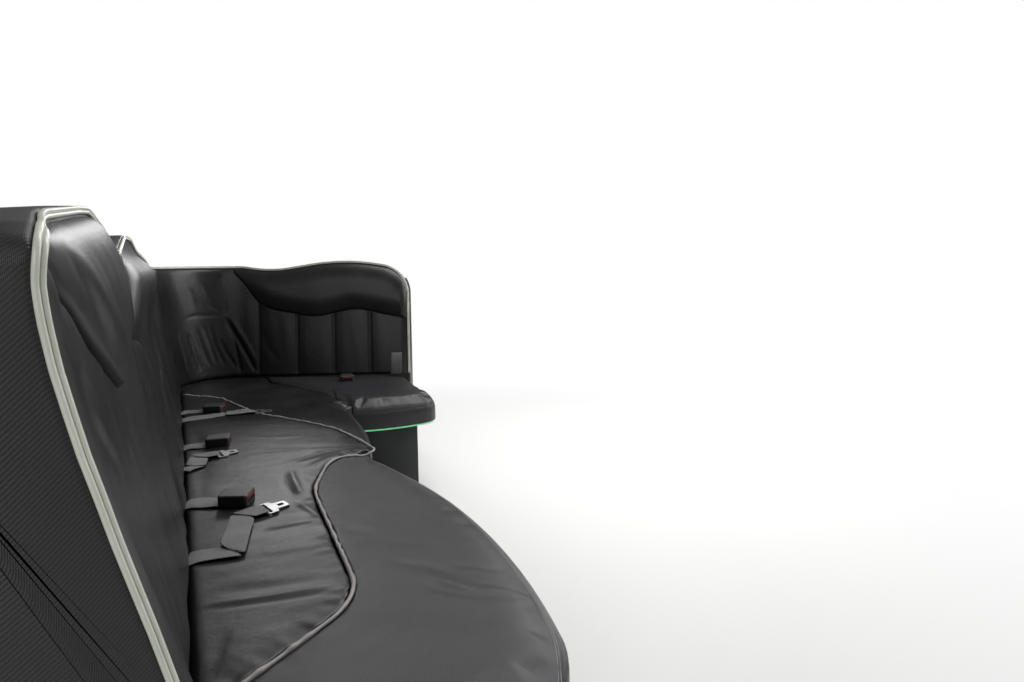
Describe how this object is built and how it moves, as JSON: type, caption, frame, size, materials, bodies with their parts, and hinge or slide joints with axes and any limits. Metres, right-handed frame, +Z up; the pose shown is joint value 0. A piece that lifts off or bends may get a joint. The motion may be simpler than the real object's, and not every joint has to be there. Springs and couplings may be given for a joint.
{
  "type": "limousine lounge bench seat",
  "caption": "Hooked lounge bench: long side bench with lobed cushions and a wavy bolstered back, rounded corner and a short front bench.",
  "frame": {"origin": "bottom centre of the bounding box, on the floor", "axes": "+X into the cabin from the side back, +Y forward along the side bench, +Z up"},
  "size_m": [1.1948, 2.4788, 1.0085],
  "materials": {
    "belt_webbing": "black woven belt webbing",
    "black_leather": "soft black leather, satin",
    "black_plastic": "moulded black plastic",
    "bright_steel": "polished steel",
    "carbon_vinyl": "carbon-weave embossed vinyl, satin",
    "kick_carpet": "black carpeted board",
    "light_piping": "pale translucent double-bead welt",
    "light_strip": "green light strip",
    "plywood": "birch plywood",
    "red_button": "moulded button",
    "zinc_steel": "zinc plated steel"
  },
  "bodies": {
    "root": {"belt_buckles": "black_plastic", "belt_buttons": "red_button", "belt_tongues": "bright_steel", "belt_webbing": "belt_webbing", "corner_back_board": "plywood", "corner_back_shell": "carbon_vinyl", "corner_pad": "black_leather", "corner_welt": "light_piping", "far_bolster": "black_leather", "far_lobe": "carbon_vinyl", "floor_brackets": "zinc_steel", "front_back_board": "plywood", "front_back_shell": "carbon_vinyl", "front_bolster": "black_leather", "front_cushion": "carbon_vinyl", "front_fascia": "carbon_vinyl", "front_kick_panel": "kick_carpet", "front_light_strip": "light_strip", "front_lower_pad": "black_leather", "front_ribs": "plywood", "front_seat_board": "plywood", "front_welt": "light_piping", "inner_pad": "black_leather", "near_bolster": "black_leather", "near_end_panel": "carbon_vinyl", "near_end_welt": "light_piping", "near_lobe": "carbon_vinyl", "right_end_panel": "carbon_vinyl", "side_back_board": "plywood", "side_back_shell": "carbon_vinyl", "side_fascia": "carbon_vinyl", "side_kick_panel": "kick_carpet", "side_light_strip": "light_strip", "side_lower_pad": "black_leather", "side_ribs": "plywood", "side_seat_board": "plywood", "side_welt": "light_piping"}
  },
  "joints": []
}
